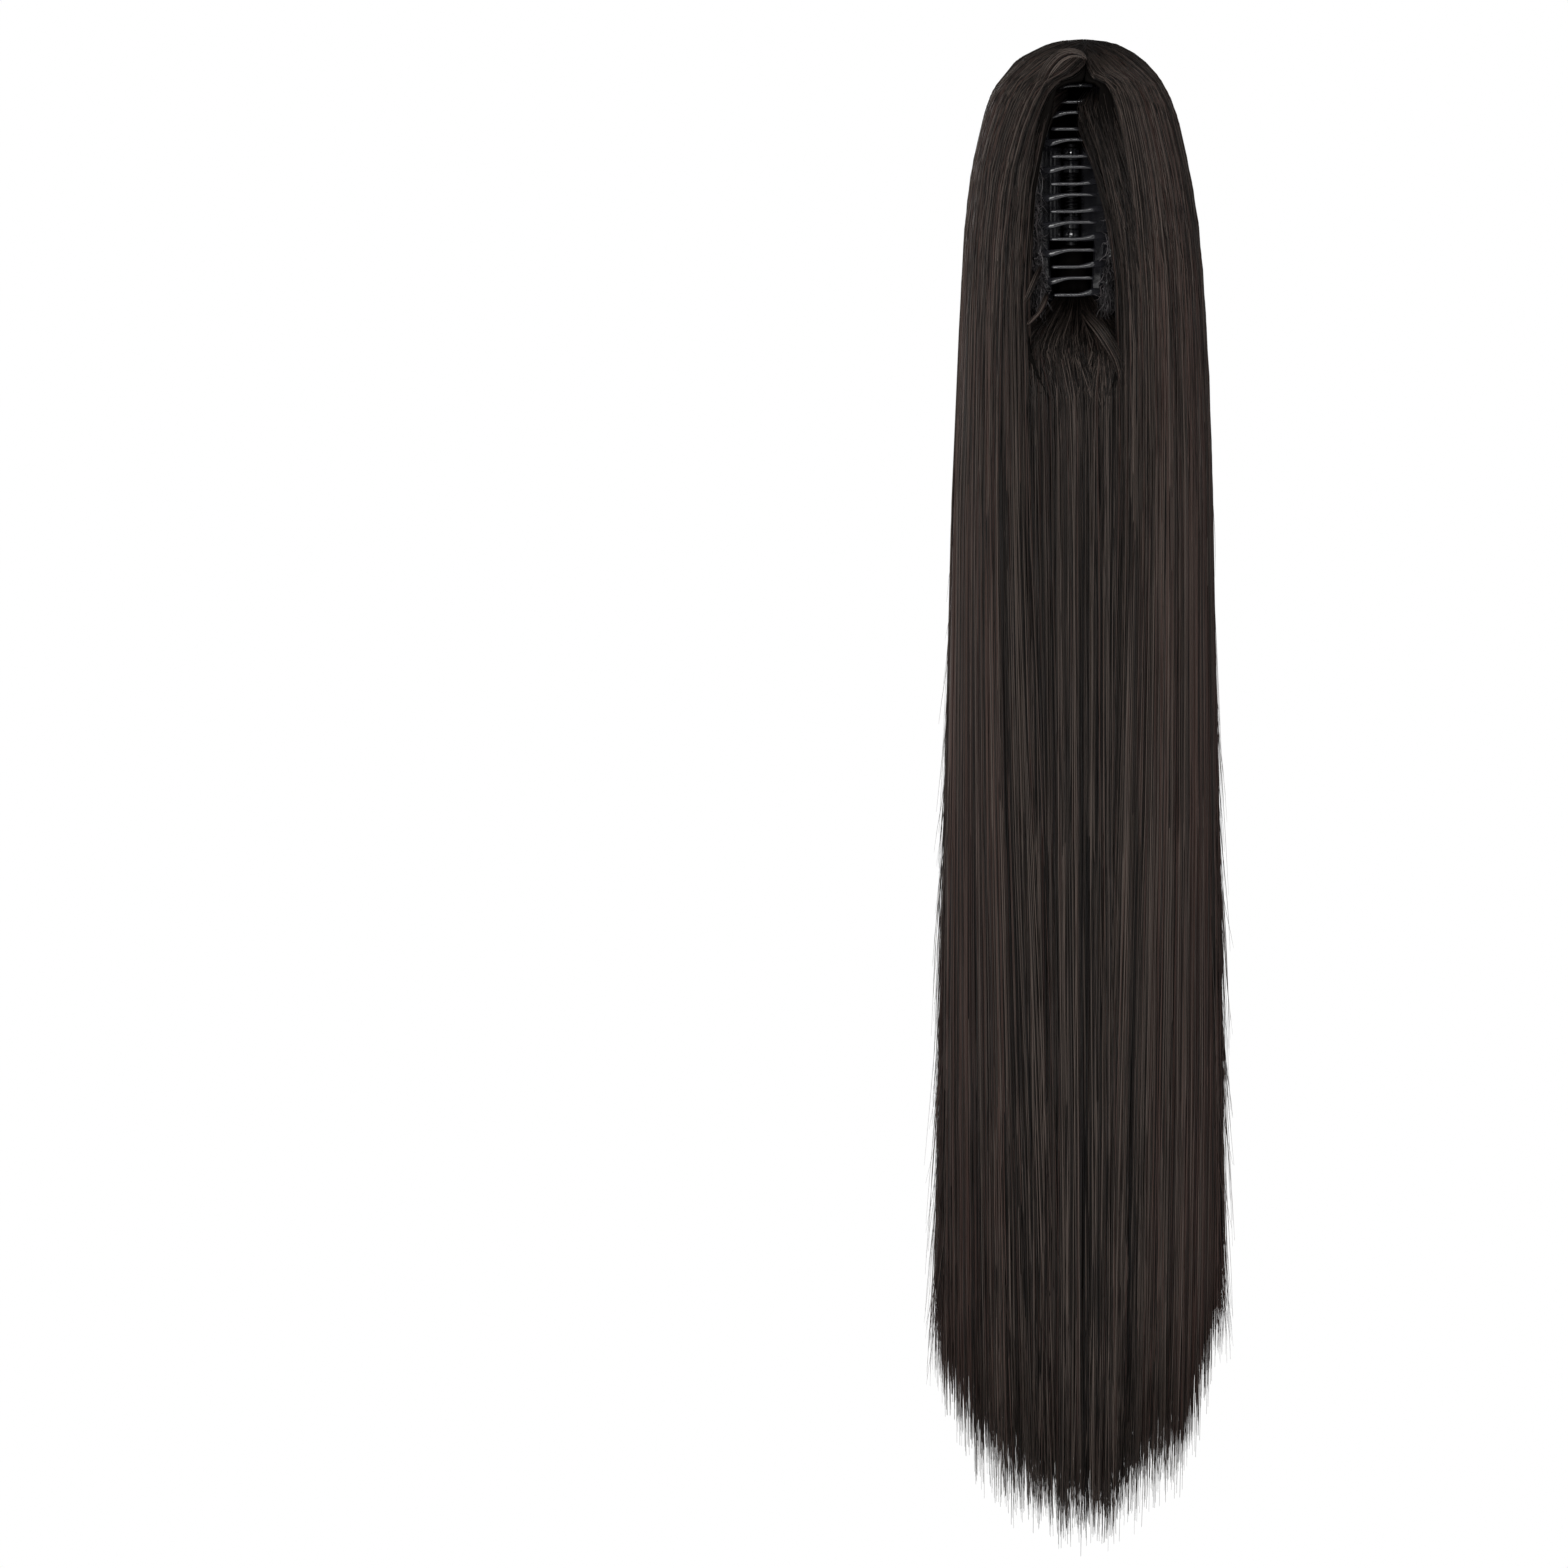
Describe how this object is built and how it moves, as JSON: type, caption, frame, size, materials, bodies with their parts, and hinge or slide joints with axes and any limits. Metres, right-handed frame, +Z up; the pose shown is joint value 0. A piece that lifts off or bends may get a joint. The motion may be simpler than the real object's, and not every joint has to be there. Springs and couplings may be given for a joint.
{
  "type": "claw clip ponytail hairpiece",
  "caption": "Long straight dark ponytail hairpiece on a claw clip whose two toothed jaws hinge open inside a hood of hair.",
  "frame": {"origin": "middle of the claw's grip space, where it holds the wearer's gathered hair", "axes": "+Z up along the hinge pin towards the crown, -Y towards the wearer and the claw's teeth, +Y towards the outer cover hair, +X to the right seen from the wearer's side"},
  "size_m": [0.1249, 0.0959, 0.66],
  "materials": {
    "hair": "straight dark brown fibre with a soft sheen",
    "inner_hair": "straight dark brown fibre, less brushed",
    "claw": "glossy black moulded plastic",
    "steel": "plain drawn wire",
    "netting": "black net with sewn wefts"
  },
  "bodies": {
    "hair": {"side_hair_left": "hair", "side_hair_right": "hair", "cover_hair": "hair", "inner_hair": "inner_hair", "hinge_pin": "steel", "torsion_spring": "steel"},
    "jaw_left": {"claw_jaw_left": "claw", "weft_band_left": "netting"},
    "jaw_right": {"claw_jaw_right": "claw", "weft_band_right": "netting"}
  },
  "joints": [
    {"name": "left_jaw_hinge", "type": "hinge", "parent": "hair", "child": "jaw_left", "pos_m": [0, 0.014, 0], "axis": [0, 0, -1], "range_deg": [0, 30], "stiffness_Nm_per_rad": 0.25, "springref_deg": -45.84},
    {"name": "right_jaw_hinge", "type": "hinge", "parent": "hair", "child": "jaw_right", "pos_m": [0, 0.014, 0], "axis": [0, 0, 1], "range_deg": [0, 30], "stiffness_Nm_per_rad": 0.25, "springref_deg": -45.84}
  ]
}
